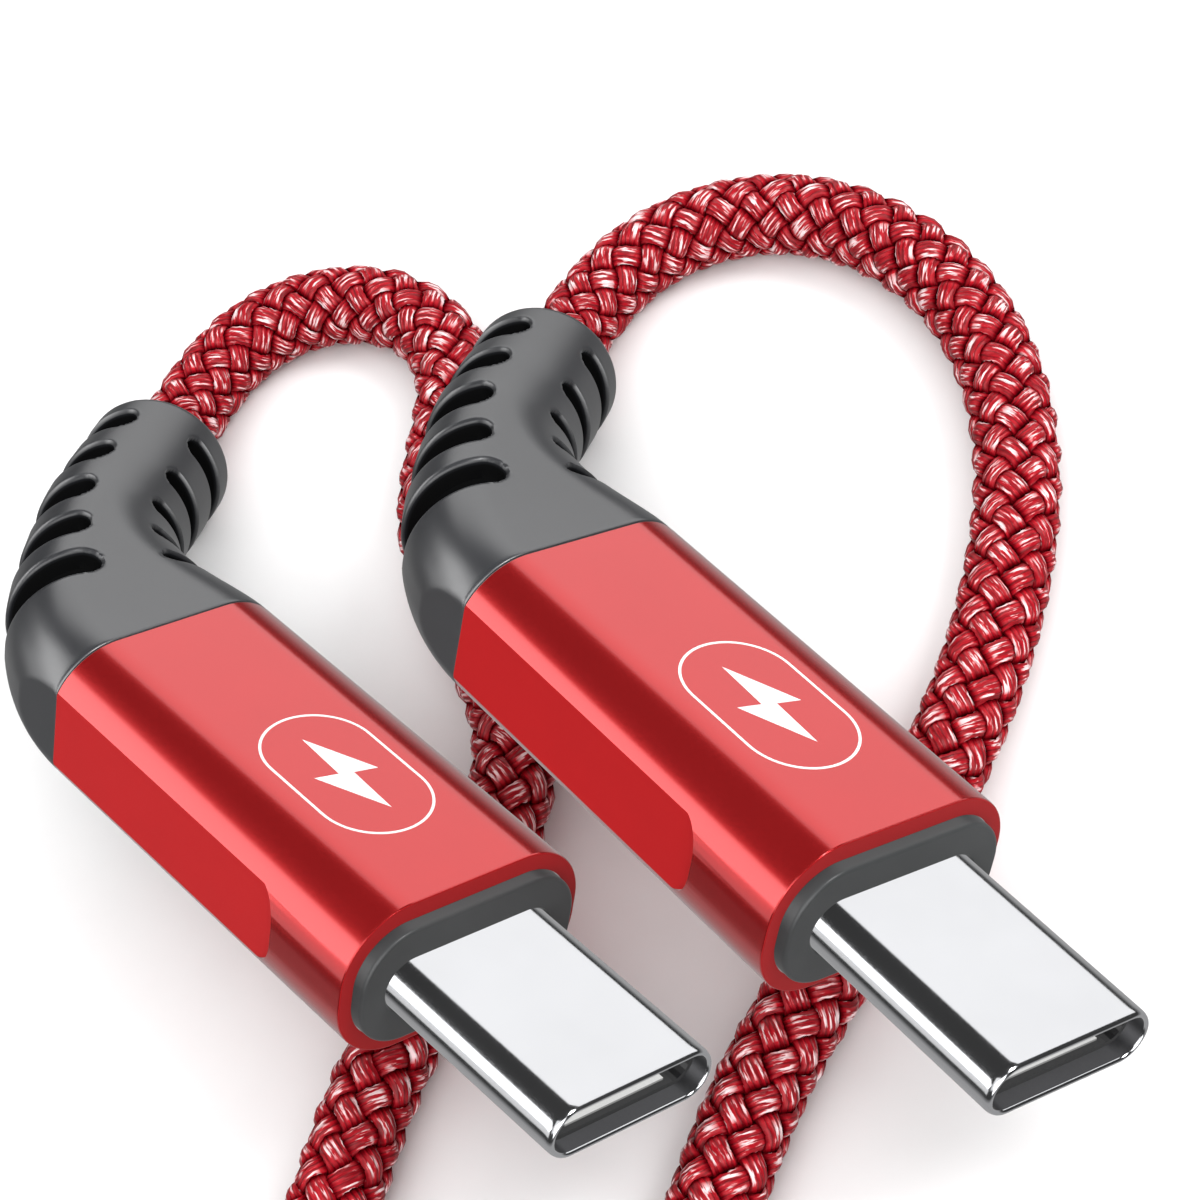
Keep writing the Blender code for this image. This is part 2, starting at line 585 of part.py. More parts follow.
def main():
    clear_scene()
    parts = new_collection("charging_cable")
    cutters = new_collection("cutters")
    paint = {
        "red": new_material("anodised_red", RED, 0.28, 0.9),
        "grey": new_material("grey_rubber", GREY, 0.55),
        "steel": new_material("polished_steel", STEEL, 0.12, 1.0),
        "gold": new_material("gold_contacts", (0.83, 0.62, 0.25), 0.25, 1.0),
        "black": new_material("black_plastic", (0.02, 0.02, 0.022), 0.5),
        "green": new_material("circuit_green", (0.02, 0.20, 0.09), 0.45),
        "blue": new_material("blue_insulation", (0.03, 0.08, 0.45), 0.5),
        "white": new_material("white_plastic", (0.80, 0.80, 0.78), 0.5),
        "cord": new_material("red_braid", (0.42, 0.02, 0.04), 0.45),
    }
    empties = (("a", (0.0, 0.0, 0.0), 0.0), ("b", PLUG_B_STEP, PLUG_B_YAW))
    for letter, offset, yaw in empties:
        empty = bpy.data.objects.new(f"plug_{letter}_datum", None)
        parts.objects.link(empty)
        empty.location = Vector(PLUG_A_AT) + Vector(offset)
        empty.rotation_euler = (radians(-PLUG_ROLL), 0.0, radians(yaw))
        make_plug(letter, empty, parts, cutters, paint)
    make_coil(parts, cutters, paint)
    make_cords(parts, paint)


main()
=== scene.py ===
import json
from math import atan2, ceil, cos, pi, radians, sin

import bmesh
import bpy
import numpy as np
from mathutils import Matrix, Vector

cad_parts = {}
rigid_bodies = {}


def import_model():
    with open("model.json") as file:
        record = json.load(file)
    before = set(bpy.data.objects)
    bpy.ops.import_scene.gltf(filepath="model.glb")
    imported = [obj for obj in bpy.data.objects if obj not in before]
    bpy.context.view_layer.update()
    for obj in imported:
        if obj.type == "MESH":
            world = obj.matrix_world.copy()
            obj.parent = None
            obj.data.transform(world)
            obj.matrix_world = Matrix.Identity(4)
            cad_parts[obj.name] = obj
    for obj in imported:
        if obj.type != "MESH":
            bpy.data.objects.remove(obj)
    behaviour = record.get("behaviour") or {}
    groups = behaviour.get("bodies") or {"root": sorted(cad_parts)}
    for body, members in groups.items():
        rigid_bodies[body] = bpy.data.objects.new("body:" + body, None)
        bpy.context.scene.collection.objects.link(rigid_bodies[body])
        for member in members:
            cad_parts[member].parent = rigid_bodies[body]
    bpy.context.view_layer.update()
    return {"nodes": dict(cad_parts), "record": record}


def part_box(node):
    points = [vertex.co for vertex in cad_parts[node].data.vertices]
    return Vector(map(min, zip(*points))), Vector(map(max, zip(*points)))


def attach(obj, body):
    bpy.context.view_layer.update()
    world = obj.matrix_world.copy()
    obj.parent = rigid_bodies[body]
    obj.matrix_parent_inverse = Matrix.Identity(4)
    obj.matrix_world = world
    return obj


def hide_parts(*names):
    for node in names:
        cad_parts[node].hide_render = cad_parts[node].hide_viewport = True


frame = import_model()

MM = 0.001


# ---------------------------------------------------------------- dimensions, millimetres unless said
# Along a plug, x is 0 at the collar's front face and grows towards the nose.
SLEEVE_W, SLEEVE_H, SLEEVE_R = 12.0, 7.2, 3.2
SLEEVE_FRONT, SLEEVE_BACK, SLEEVE_WALL, SLEEVE_SEAT = -0.6, -21.2, 0.6, 0.8
FACET_DEPTH, FACET_END, FACET_BACK = 0.35, -5.2, -26.0
FACET_HALF, FACET_CORNER, CUTTER_THICK = 1.92, 1.55, 2.0
COLLAR_W, COLLAR_H, COLLAR_R, COLLAR_BACK, COLLAR_EDGE = 10.7, 5.5, 2.4, -3.6, 0.17
TIP_W, TIP_H, TIP_OUT, TIP_ROOT, TIP_WALL, TIP_LIP = 8.25, 2.5, 10.0, 8.5, 0.25, 0.16
SEAT_DROP = 2.0
BOOT_STRAIGHT, BOOT_BEND_R, BOOT_BEND, BOOT_TAIL = 0.2, 15.7, radians(53.4), 5.4
BOOT_END_R, BOOT_TAPER, BOOT_BORE, BOOT_LIP, BOOT_HOLLOW = 3.5, 0.59, 2.05, 0.5, 6.0
BOOT_LENGTH = BOOT_STRAIGHT + BOOT_BEND_R * BOOT_BEND + BOOT_TAIL
BOOT_PLUG_IN, BOOT_NECK, BOOT_ROUND_BY, BOOT_STEP = 2.8, 0.70, 0.4, 0.125
GROOVES = [5.5 + 3.13 * i for i in range(5)]
GROOVE_DEPTH = 0.9
# A groove's half width, and how far from the middle of the top or bottom it ends.
GROOVE_OUTER, GROOVE_INNER = (0.90, 0.62), (0.70, 2.05)
EMBLEM_X, EMBLEM_HALF_L, EMBLEM_HALF_W, EMBLEM_LINE = -8.7, 4.3, 2.55, 0.12
EMBLEM_BOLT = [(-2.75, -0.20), (0.35, 1.35), (0.10, 0.30), (2.75, 0.20), (-0.35, -1.35), (-0.10, -0.30)]
EMBLEM_SUNK, EMBLEM_PROUD = 0.01, 0.012

# Points round a lofted body, and steps in each corner of an outline.
LOFT_SIDES, BOOT_SIDES, CORNER_STEPS = 128, 184, 60
SLIVER = 1e-4

COIL_CENTRE = (23.5, -45.7)
ROUTE_A = [
    (-37.48, 9.25, 3.03), (-38.4, 10.4, 2.40), (-39.6, 12.8, 1.9), (-40.1, 16.2, 1.9),
    (-39.0, 19.9, 1.9), (-36.2, 22.9, 1.9), (-32.0, 24.6, 1.9), (-27.2, 24.8, 1.9),
    (-22.6, 23.6, 1.9), (-18.4, 21.3, 1.9), (-14.8, 18.2, 1.9), (-11.7, 14.5, 1.9),
    (-9.0, 10.3, 1.9), (-6.9, 5.9, 1.9), (-5.2, 1.5, 1.9), (-3.7, -3.0, 1.9),
    (-2.0, -7.5, 1.9), (0.5, -12.1, 1.9), (3.9, -16.4, 1.9), (8.5, -18.5, 1.9),
]
ROUTE_B = [
    (-49.04, -6.59, 3.03), (-50.2, -5.4, 2.40), (-51.9, -2.6, 1.9), (-52.5, 0.6, 1.9),
    (-51.4, 3.9, 1.9), (-48.7, 6.3, 1.9), (-45.2, 7.1, 1.9), (-41.8, 6.1, 1.9),
    (-39.1, 3.7, 1.9), (-36.5, 1.1, 1.9), (-33.3, -0.9, 1.9), (-29.8, -2.1, 1.9),
    (-26.2, -3.0, 1.9), (-22.9, -4.6, 1.9), (-20.4, -7.1, 1.9), (-18.5, -10.2, 1.9),
    (-16.9, -13.6, 1.9), (-15.1, -17.2, 1.9), (-13.0, -20.8, 1.9), (-10.6, -24.3, 1.9),
    (-8.9, -28.2, 1.95), (-8.1, -32.4, 2.4), (-7.8, -36.8, 3.3), (-7.2, -40.8, 4.2),
]


def mount(name):
    for entry in frame["record"]["mounts"]:
        if entry["name"] == name:
            return Vector(entry["pos_m"]), Vector(entry["axis"]).normalized()
    raise KeyError(name)


def plug_matrix(letter):
    """The plug's own axes: X to the nose, Y to the side the boot turns to, Z out of its upper face."""
    seat, along = mount(f"seat_{letter}")
    up = mount(f"sleeve_top_{letter}")[1]
    side = up.cross(along).normalized()
    origin = seat - SEAT_DROP * MM * up
    turn = Matrix((along, side, up)).transposed().to_4x4()
    return Matrix.Translation(origin) @ turn


PLUGS = {letter: plug_matrix(letter) for letter in "ab"}
SURFACE_POINT = PLUGS["a"].translation.copy()


# ---------------------------------------------------------------- mesh helpers
def link_object(name, data):
    obj = bpy.data.objects.new(name, data)
    bpy.context.scene.collection.objects.link(obj)
    return obj


def add_floats(mesh, floats):
    """Named vertex values: one number for each vertex under each name."""
    for key, values in floats.items():
        layer = mesh.attributes.new(key, "FLOAT", "POINT")
        layer.data.foreach_set("value", np.asarray(values, dtype=np.float32))


def mesh_object(name, verts, faces, mats, smooth=True, floats=None, sharp=None):
    """A mesh from lists, verts in metres. Edges that turn more than sharp radians are kept hard."""
    mesh = bpy.data.meshes.new(name)
    mesh.from_pydata([tuple(v) for v in verts], [], [tuple(f) for f in faces])
    mesh.validate()
    for mat in mats:
        mesh.materials.append(mat)
    if smooth:
        mesh.polygons.foreach_set("use_smooth", [True] * len(mesh.polygons))
    add_floats(mesh, floats or {})
    if sharp is not None:
        bm = bmesh.new()
        bm.from_mesh(mesh)
        for edge in bm.edges:
            if len(edge.link_faces) == 2 and edge.calc_face_angle(0) > sharp:
                edge.smooth = False
        bm.to_mesh(mesh)
        bm.free()
    mesh.update()
    return link_object(name, mesh)


def bridge(rings, count, closed=False):
    """Quads between successive rings of count vertices each."""
    faces = []
    pairs = rings if closed else rings - 1
    for k in range(pairs):
        a, b = k * count, ((k + 1) % rings) * count
        for i in range(count):
            j = (i + 1) % count
            faces.append((a + i, b + i, b + j, a + j))
    return faces


def running_length(points):
    """Distance along a line of points, 0 at its first."""
    return np.concatenate(([0.0], np.cumsum(np.linalg.norm(np.diff(points, axis=0), axis=1))))


def arc(cx, cy, radius, start, sweep, steps):
    """Points of an arc from start through sweep degrees, each with its outward direction."""
    rows = []
    for k in range(steps + 1):
        angle = radians(start + sweep * k / steps)
        rows.append((cx + radius * cos(angle), cy + radius * sin(angle), cos(angle), sin(angle)))
    return rows


def rounded_edge(radius, steps):
    """How far in from the side and back from the face each step of a rounded edge lies."""
    angles = [pi / 2 * k / steps for k in range(steps + 1)]
    return [(radius * (1 - cos(angle)), radius * (1 - sin(angle))) for angle in angles]


def outline(width, height, corner, count):
    """Points and outward normals (y, z) of a rounded rectangle, evenly spaced, from its +Y end."""
    corner = min(corner, width / 2 - SLIVER, height / 2 - SLIVER)
    hy, hz = width / 2 - corner, height / 2 - corner
    rows = []
    for cy, cz, start in ((hy, hz, 0), (-hy, hz, 90), (-hy, -hz, 180), (hy, -hz, 270)):
        rows += arc(cy, cz, corner, start, 90, CORNER_STEPS)
    rows = np.array(rows + rows[:1])
    run = running_length(rows[:, :2])
    # The run starts at the top of the +Y side, so z is 0 at hz before its end.
    marks = (np.arange(count) / count * run[-1] + run[-1] - hz) % run[-1]
    both = np.column_stack([np.interp(marks, run, rows[:, a]) for a in range(4)])
    points, normals = both[:, :2], both[:, 2:]
    return points, normals / np.linalg.norm(normals, axis=1)[:, None]


def station(x, width, height, corner, inset=0.0):
    """One section of a loft at x: its outline, drawn in all round by inset."""
    return x, width - 2 * inset, height - 2 * inset, corner - inset


def loft_x(name, stations, mats, matrix, sharp=None):
    """A body swept along X through its stations, closed back on its first."""
    verts = []
    for x, width, height, corner in stations:
        points, _ = outline(width, height, corner, LOFT_SIDES)
        verts += [matrix @ Vector((x * MM, y * MM, z * MM)) for y, z in points]
    return mesh_object(name, verts, bridge(len(stations), LOFT_SIDES, closed=True), mats, sharp=sharp)


def ease(t):
    """0 to 1 with a soft start and end, for a number or an array."""
    t = np.clip(t, 0, 1)
    return t * t * (3 - 2 * t)


def fix_normals(obj):
    bm = bmesh.new()
    bm.from_mesh(obj.data)
    bmesh.ops.recalc_face_normals(bm, faces=bm.faces)
    bm.to_mesh(obj.data)
    bm.free()
    obj.data.update()


# ---------------------------------------------------------------- materials
class Look:
    """A Principled material with short names for the nodes that feed it."""

    def __init__(self, name, colour, rough, metal=0.0, spec=0.5):
        self.mat = bpy.data.materials.new(name)
        self.mat.use_nodes = True
        self.tree = self.mat.node_tree
        self.out = self.tree.nodes["Principled BSDF"]
        self.set("Base Color", (*colour, 1.0))
        self.set("Roughness", rough)
        self.set("Metallic", metal)
        self.set("Specular IOR Level", spec)

    def set(self, socket, value):
        self.out.inputs[socket].default_value = value

    def node(self, kind, **props):
        made = self.tree.nodes.new(kind)
        for key, value in props.items():
            setattr(made, key, value)
        return made

    def link(self, a, b):
        self.tree.links.new(a, b)

    def feed(self, source, socket):
        self.link(source, self.out.inputs[socket])

    def point(self):
        """Object coordinates, in metres."""
        return self.node("ShaderNodeTexCoord").outputs["Object"]

    def uv(self, scale):
        """The braid's own coordinates, scaled: across a strand, and millimetres along it."""
        place = self.node("ShaderNodeUVMap", uv_map="lie")
        shift = self.node("ShaderNodeMapping")
        shift.inputs["Scale"].default_value = scale
        self.link(place.outputs["UV"], shift.inputs["Vector"])
        return shift.outputs["Vector"]

    def noise(self, vector, scale, detail=3.0, rough=0.5):
        made = self.node("ShaderNodeTexNoise")
        made.inputs["Scale"].default_value = scale
        made.inputs["Detail"].default_value = detail
        made.inputs["Roughness"].default_value = rough
        self.link(vector, made.inputs["Vector"])
        return made.outputs["Fac"]

    def value(self, name):
        """A named vertex value of the mesh."""
        return self.node("ShaderNodeAttribute", attribute_name=name).outputs["Fac"]

    def math(self, kind, *terms):
        """A maths node on sockets or plain numbers."""
        made = self.node("ShaderNodeMath", operation=kind)
        for slot, item in enumerate(terms):
            if isinstance(item, (int, float)):
                made.inputs[slot].default_value = item
            else:
                self.link(item, made.inputs[slot])
        return made.outputs[0]

    def span(self, fac, low, high, to_low=0.0, to_high=1.0):
        """Maps low..high onto to_low..to_high, held at both ends."""
        made = self.node("ShaderNodeMapRange")
        self.link(fac, made.inputs["Value"])
        for key, item in (("From Min", low), ("From Max", high), ("To Min", to_low), ("To Max", to_high)):
            made.inputs[key].default_value = item
        return made.outputs["Result"]

    def mix(self, fac, a, b):
        """From a to b, each a colour or a socket."""
        made = self.node("ShaderNodeMix", data_type="RGBA")
        self.link(fac, made.inputs[0])
        for slot, item in ((6, a), (7, b)):
            if isinstance(item, tuple):
                made.inputs[slot].default_value = (*item, 1.0)
            else:
                self.link(item, made.inputs[slot])
        return made.outputs[2]

    def bump(self, height, strength, distance):
        made = self.node("ShaderNodeBump")
        made.inputs["Strength"].default_value = strength
        made.inputs["Distance"].default_value = distance
        self.link(height, made.inputs["Height"])
        return made.outputs["Normal"]


BROAD_GRAIN = 260
ROUGH_SWING = 0.04
MIN_ROUGH = 0.02


def grained(name, colour, rough, metal=0.0, spec=0.5, grain=9000, depth=0.00001, vary=0.12, strength=0.3):
    """A finish with a fine grain: small changes of tone, roughness and height."""
    look = Look(name, colour, rough, metal, spec)
    fine = look.noise(look.point(), grain, 2.0)
    broad = look.noise(look.point(), BROAD_GRAIN)
    dark = tuple(c * (1 - vary) for c in colour)
    light = tuple(min(1.0, c * (1 + vary)) for c in colour)
    smoothest = max(MIN_ROUGH, rough - ROUGH_SWING)
    look.feed(look.mix(look.span(broad, 0.3, 0.7), dark, light), "Base Color")
    look.feed(look.span(fine, 0.2, 0.8, smoothest, rough + ROUGH_SWING), "Roughness")
    look.feed(look.bump(fine, strength, depth), "Normal")
    return look


ANODISED = {"grain": 16000, "vary": 0.02}
RED = grained("anodised_red", (0.61, 0.014, 0.017), 0.22, 0.76, depth=0.000002, strength=0.10, **ANODISED)
RED.set("Coat Weight", 1.0)
RED.set("Coat Roughness", 0.13)
RED.set("Coat IOR", 1.62)
FLAT_RED = grained("anodised_flat", (0.60, 0.012, 0.015), 0.45, 0.4, spec=0.3, depth=0.000003, **ANODISED)
# The sleeve's front end face: the same anodised red, painted darker as shade.
SHADED_END_RED = grained("anodised_end_shaded", (0.36, 0.006, 0.008), 0.42, 0.3, spec=0.3, depth=0.000003, **ANODISED)
COLLAR = grained("collar_plastic", (0.040, 0.042, 0.043), 0.36, grain=14000, depth=0.000004)
CHROME = grained("plated_steel", (0.73, 0.735, 0.755), 0.14, 1.0,
                 grain=12000, depth=0.000002, vary=0.02, strength=0.15)
# The tip's inner wall: the plating painted dark as shade inside the mouth.
SHADED_INSIDE = grained("tip_inside_shaded", (0.10, 0.10, 0.105), 0.45, 1.0, vary=0.05)
INSERT = grained("insert_resin", (0.012, 0.012, 0.013), 0.40)
GOLD = grained("gold_plating", (0.86, 0.58, 0.22), 0.20, 1.0, vary=0.05)
SPRING = grained("spring_steel", (0.62, 0.62, 0.61), 0.22, 1.0, vary=0.05)
CHIP = grained("chip_resin", (0.02, 0.02, 0.022), 0.45)
FRAME = grained("inner_frame_plastic", (0.70, 0.69, 0.66), 0.5)
JACKET = grained("inner_jacket", (0.05, 0.05, 0.05), 0.5)
FERRULE = grained("ferrule_tin", (0.66, 0.66, 0.64), 0.28, 1.0, vary=0.06)
PAINT = grained("emblem_paint", (0.86, 0.85, 0.84), 0.55, vary=0.02)
WIRES = {
    "power": grained("wire_red", (0.45, 0.02, 0.02), 0.45),
    "ground": grained("wire_black", (0.02, 0.02, 0.02), 0.45),
    "data_plus": grained("wire_green", (0.03, 0.25, 0.06), 0.45),
    "data_minus": grained("wire_white", (0.70, 0.70, 0.68), 0.45),
    "config": grained("wire_blue", (0.03, 0.08, 0.40), 0.45),
}


def board_look():
    """Green board: a faint grid of tracks with scattered gold pads."""
    look = Look("circuit_board", (0.02, 0.13, 0.05), 0.35)
    cells = look.node("ShaderNodeTexBrick")
    cells.inputs["Scale"].default_value = 900
    cells.inputs["Mortar Size"].default_value = 0.03
    look.link(look.point(), cells.inputs["Vector"])
    tone = look.mix(cells.outputs["Fac"], (0.018, 0.12, 0.045), (0.03, 0.20, 0.07))
    pads = look.span(look.noise(look.point(), 2500), 0.62, 0.64)
    look.feed(look.mix(pads, tone, (0.55, 0.40, 0.12)), "Base Color")
    look.feed(look.bump(cells.outputs["Fac"], 0.3, 0.00002), "Normal")
    return look


BOARD = board_look()


def rubber_look():
    """Satin rubber: fine moulded grain, with painted shade that darkens the colour and weakens the
    reflection down inside the grooves.
    """
    look = Look("boot_rubber", (0.035, 0.036, 0.040), 0.40, spec=1.0)
    look.set("IOR", 1.82)
    fine = look.noise(look.point(), 15000, 2.0)
    broad = look.noise(look.point(), 300)
    tone = look.mix(look.span(broad, 0.3, 0.7), (0.018, 0.0188, 0.022), (0.022, 0.023, 0.0265))
    inside = look.value("groove")
    # Painted shade: down inside a groove the colour goes near black and the reflection fades.
    shade = look.span(inside, 0.04, 0.35, 0.0, 0.96)
    look.feed(look.mix(shade, tone, (0.003, 0.003, 0.003)), "Base Color")
    look.feed(look.span(inside, 0.03, 0.22, 1.0, 0.0), "Specular IOR Level")
    look.feed(look.span(fine, 0.2, 0.8, 0.30, 0.36), "Roughness")
    look.feed(look.bump(fine, 0.3, 0.000005), "Normal")
    return look


RUBBER = rubber_look()


FILAMENTS = 6


def braid_look():
    """Braid strands: fine filaments along each strand, with painted shade at their edges, in the troughs
    between filaments and where strands tuck under, and painted highlights on their raised parts.
    """
    look = Look("braid_red", (0.30, 0.010, 0.018), 0.30, spec=0.4)
    lie = look.node("ShaderNodeUVMap", uv_map="lie").outputs["UV"]
    parts = look.node("ShaderNodeSeparateXYZ")
    look.link(lie, parts.inputs[0])
    across = parts.outputs[0]
    wander = look.noise(look.uv((1.2, 0.9, 1)), 1.0)
    bent = look.math("ADD", across, look.math("MULTIPLY", look.math("SUBTRACT", wander, 0.5), 0.22))
    ridge = look.math("ABSOLUTE", look.math("COSINE", look.math("MULTIPLY", bent, pi * FILAMENTS)))
    streak = look.noise(look.uv((9, 0.8, 1)), 1.0, 3.0, 0.55)
    edge = look.math("ABSOLUTE", look.math("SUBTRACT", look.math("MULTIPLY", across, 2.0), 1.0))
    depth = look.value("lift")
    # Painted shade along a strand's edges and where it tucks under: the colour goes near black there and the
    # reflection fades.
    tucked_shade = look.span(depth, -0.35, 0.45, 1.0, 0.0)
    gap = look.math("MAXIMUM", look.span(edge, 0.66, 0.94, 0.0, 1.0), tucked_shade)
    # The streak tone is partly the fibres' own tone and partly painted shade and light: lower streaks
    # darker, raised ones lighter.
    tone = look.mix(look.span(streak, 0.3, 0.72), (0.17, 0.001, 0.005), (0.66, 0.007, 0.020))
    # Painted shade in the troughs between filaments, where the ridges fall.
    tone = look.mix(look.span(ridge, 0.0, 0.55, 0.75, 0.0), tone, (0.10, 0.002, 0.005))
    # Painted highlight: pale pink streaks on the raised stretches of the strands.
    painted_glint = look.math("MULTIPLY", look.span(streak, 0.53, 0.60), look.span(depth, 0.35, 0.90))
    tone = look.mix(look.math("MULTIPLY", painted_glint, 0.92), tone, (1.0, 0.80, 0.81))
    look.feed(look.mix(gap, tone, (0.012, 0.0002, 0.0005)), "Base Color")
    look.feed(look.span(gap, 0.0, 0.6, 0.28, 0.0), "Specular IOR Level")
    look.feed(look.span(streak, 0.3, 0.7, 0.40, 0.24), "Roughness")
    height = look.math("ADD", look.math("MULTIPLY", ridge, 0.7), look.math("MULTIPLY", streak, 0.6))
    look.feed(look.bump(height, 0.9, 0.00006), "Normal")
    return look


BRAID = braid_look()
# The inner cable's near-black colour is painted shade under the braid.
CORE = grained("braid_shadow", (0.014, 0.0008, 0.0012), 0.8, spec=0.1)


def strap_look():
    """Woven strap: fine loops in rows, dark grey, with painted shade in the hollows of the weave."""
    look = Look("strap_fabric", (0.03, 0.031, 0.033), 0.85, spec=0.2)
    weave = look.node("ShaderNodeTexWave", wave_type="BANDS", bands_direction="DIAGONAL")
    weave.inputs["Scale"].default_value = 900
    weave.inputs["Distortion"].default_value = 3.0
    weave.inputs["Detail"].default_value = 3.0
    look.link(look.point(), weave.inputs["Vector"])
    fuzz = look.noise(look.point(), 5200, 4.0, 0.7)
    height = look.math("ADD", weave.outputs["Fac"], fuzz)
    # Painted shade: lower in the weave is darker, the raised loops lighter.
    loops = look.span(height, 0.5, 1.5)
    look.feed(look.mix(loops, (0.014, 0.0145, 0.016), (0.07, 0.072, 0.078)), "Base Color")
    look.feed(look.bump(height, 1.0, 0.00008), "Normal")
    return look


STRAP = strap_look()


# ---------------------------------------------------------------- plugs

def cut_with(obj, cutter):
    mod = obj.modifiers.new("cut", "BOOLEAN")
    mod.operation = "DIFFERENCE"
    mod.solver = "EXACT"
    mod.object = cutter
    graph = bpy.context.evaluated_depsgraph_get()
    mesh = bpy.data.meshes.new_from_object(obj.evaluated_get(graph))
    obj.modifiers.clear()
    old = obj.data
    obj.data = mesh
    bpy.data.meshes.remove(old)


def facet_cutter(matrix, side):
    """A block with a rounded front end that mills the flat along one side of the sleeve."""
    front = FACET_END - FACET_CORNER
    points = [(FACET_BACK, -FACET_HALF), (front, -FACET_HALF)]
    for cz, start in ((-FACET_HALF + FACET_CORNER, -90), (FACET_HALF - FACET_CORNER, 0)):
        points += [row[:2] for row in arc(front, cz, FACET_CORNER, start, 90, 24)]
    points += [(FACET_BACK, FACET_HALF)]
    near = SLEEVE_W / 2 - FACET_DEPTH
    verts = []
    for y in (near, near + CUTTER_THICK):
        verts += [matrix @ Vector((x * MM, side * y * MM, z * MM)) for x, z in points]
    count = len(points)
    faces = [tuple(range(count)), tuple(range(2 * count - 1, count - 1, -1))]
    faces += [(i, (i + 1) % count, count + (i + 1) % count, count + i) for i in range(count)]
    cutter = mesh_object("facet_cutter", verts, faces, [], smooth=False)
    fix_normals(cutter)
    return cutter


def make_sleeve(letter, matrix):
    """Red metal tube with a milled flat on each side and a chamfered front ring."""
    outside = (SLEEVE_W, SLEEVE_H, SLEEVE_R)
    mouth = (COLLAR_W + 0.05, COLLAR_H + 0.05, COLLAR_R + 0.02)
    seat = SLEEVE_FRONT - SLEEVE_SEAT
    stations = [
        station(SLEEVE_BACK + 0.06, *outside), station(SLEEVE_FRONT - 0.07, *outside),
        station(SLEEVE_FRONT - 0.02, *outside, 0.02), station(SLEEVE_FRONT, *outside, 0.07),
        station(SLEEVE_FRONT, *mouth), station(seat, *mouth),
        station(seat, *outside, SLEEVE_WALL), station(SLEEVE_BACK, *outside, SLEEVE_WALL),
        station(SLEEVE_BACK, *outside, 0.06),
    ]
    sleeve = loft_x(f"sleeve_shell_{letter}", stations, [RED.mat], matrix)
    fix_normals(sleeve)
    for side in (-1, 1):
        cutter = facet_cutter(matrix, side)
        cut_with(sleeve, cutter)
        bpy.data.objects.remove(cutter)
    bevel = sleeve.modifiers.new("edge", "BEVEL")
    bevel.width = 0.05 * MM
    bevel.segments = 2
    bevel.limit_method = "ANGLE"
    bevel.angle_limit = radians(14)
    bevel.harden_normals = True
    bevel.use_clamp_overlap = True
    sleeve.data.materials.append(FLAT_RED.mat)
    sleeve.data.materials.append(SHADED_END_RED.mat)
    along, side = matrix.to_3x3().col[0], matrix.to_3x3().col[1]
    flat_area = 20 * MM * MM
    for face in sleeve.data.polygons:
        face.use_smooth = True
        if abs(face.normal.dot(side)) > 0.9999 and face.area > flat_area:
            face.material_index = 1
        # Faces looking to the nose take the darker red: painted shade.
        if face.normal.dot(along) > 0.9:
            face.material_index = 2
    return sleeve


def make_collar(letter, matrix):
    """Dark ring in the sleeve's mouth, with a small chamfer round the tip's hole."""
    outside = (COLLAR_W, COLLAR_H, COLLAR_R)
    hole_w, hole_h = TIP_W + 0.04, TIP_H + 0.04
    hole = (hole_w, hole_h, hole_h / 2)
    stations = [station(COLLAR_BACK, *outside), station(-0.20, *outside)]
    stations += [station(-back, *outside, inset) for inset, back in rounded_edge(COLLAR_EDGE, 5)[1:]]
    stations += [station(0.0, *hole, -0.08), station(-0.08, *hole), station(COLLAR_BACK, *hole)]
    collar = loft_x(f"collar_ring_{letter}", stations, [COLLAR.mat], matrix, sharp=radians(40))
    fix_normals(collar)
    return collar


def make_tip(letter, matrix):
    """Plated tube of the plug, rolled in at its mouth, its inner wall painted dark as shade."""
    outside = (TIP_W, TIP_H, TIP_H / 2)
    bore = station(0.0, *outside, TIP_WALL)[1:]
    stations = [station(x, *outside) for x in (-TIP_ROOT, 0.0, TIP_OUT - 0.5)]
    stations += [station(TIP_OUT - back * 2.2, *outside, inset) for inset, back in rounded_edge(TIP_LIP, 8)]
    stations += [
        station(TIP_OUT - 0.03, *bore, -0.03), station(TIP_OUT - 0.12, *bore), station(-TIP_ROOT, *bore),
    ]
    tip = loft_x(f"tip_shell_{letter}", stations, [CHROME.mat, SHADED_INSIDE.mat], matrix, sharp=radians(50))
    fix_normals(tip)
    # The inner wall's faces take the dark copy of the plating: painted shade inside the mouth.
    first_inside = LOFT_SIDES * (len(stations) - 2)
    for face in tip.data.polygons:
        if face.index >= first_inside:
            face.material_index = 1
    return tip


def boot_line(distance):
    """Where the boot's middle line is at a distance along it, and how far it has turned there."""
    bend = min(max(distance - BOOT_STRAIGHT, 0.0) / BOOT_BEND_R, BOOT_BEND)
    before = min(distance, BOOT_STRAIGHT)
    after = max(distance - BOOT_STRAIGHT - BOOT_BEND_R * BOOT_BEND, 0.0)
    x = SLEEVE_BACK - 0.05 - before - BOOT_BEND_R * sin(bend) - after * cos(bend)
    y = BOOT_BEND_R * (1 - cos(bend)) + after * sin(bend)
    return x, y, bend


def boot_section(distance):
    """Width, height and corner of the boot there: from the sleeve's outline to a round end."""
    share = distance / BOOT_LENGTH
    taper = ease(share / BOOT_TAPER)
    width = SLEEVE_W + (2 * BOOT_END_R - SLEEVE_W) * taper
    height = SLEEVE_H + (2 * BOOT_END_R - SLEEVE_H) * taper
    corner = SLEEVE_R + (BOOT_END_R - SLEEVE_R) * ease(share / BOOT_ROUND_BY)
    return width, height, corner


